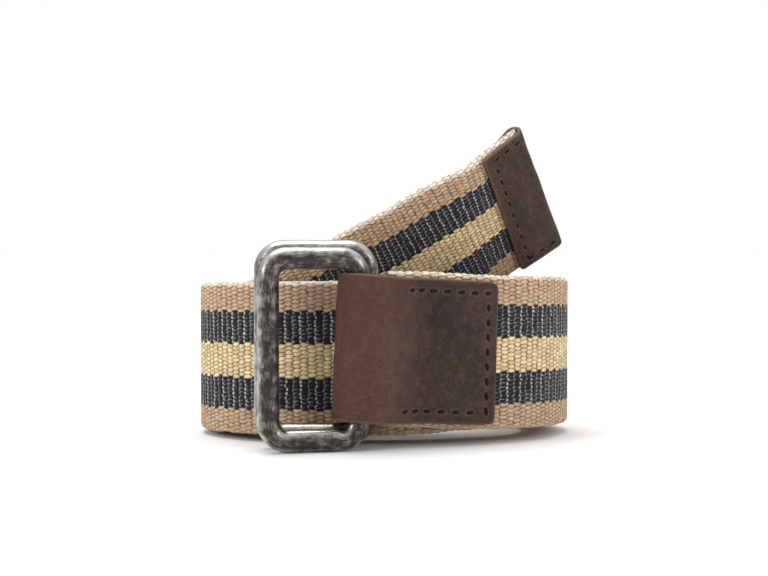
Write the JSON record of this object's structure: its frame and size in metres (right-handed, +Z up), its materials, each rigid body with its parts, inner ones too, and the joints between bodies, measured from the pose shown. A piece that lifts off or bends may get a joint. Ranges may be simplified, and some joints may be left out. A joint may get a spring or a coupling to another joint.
{
  "type": "reversible belt",
  "caption": "Striped webbing belt rolled on its edge, with rectangular rings in a folded leather tab and a leather tip on the rising tail.",
  "frame": {"origin": "the middle of the bounding box at its base, on the surface that the rolled belt stands on", "axes": "+Z up; -Y is the front, where the rings and the leather tab are; +X to the right seen from the front, the way the tail rises"},
  "size_m": [0.0966, 0.0864, 0.0798],
  "materials": {
    "webbing": "thick ribbed webbing, tan edges, two navy stripes and a straw-yellow middle",
    "leather": "dark brown oiled leather, lightly worn, stitched edges",
    "ring_metal": "antique pewter, polished and darkened in patches"
  },
  "bodies": {
    "root": {"webbing": "webbing", "leather_tab": "leather", "leather_tip": "leather"},
    "ring_back": {"ring_back": "ring_metal"},
    "ring_front": {"ring_front": "ring_metal"}
  },
  "joints": [
    {"name": "ring_front_swing", "type": "hinge", "parent": "root", "child": "ring_front", "pos_m": [-0.00605, -0.03519, 0.02425], "axis": [0, 0, 1], "range_deg": [-6, 110]},
    {"name": "ring_back_swing", "type": "hinge", "parent": "root", "child": "ring_back", "pos_m": [-0.00422, -0.0298, 0.02545], "axis": [0, 0, 1], "range_deg": [-10, 2]}
  ]
}
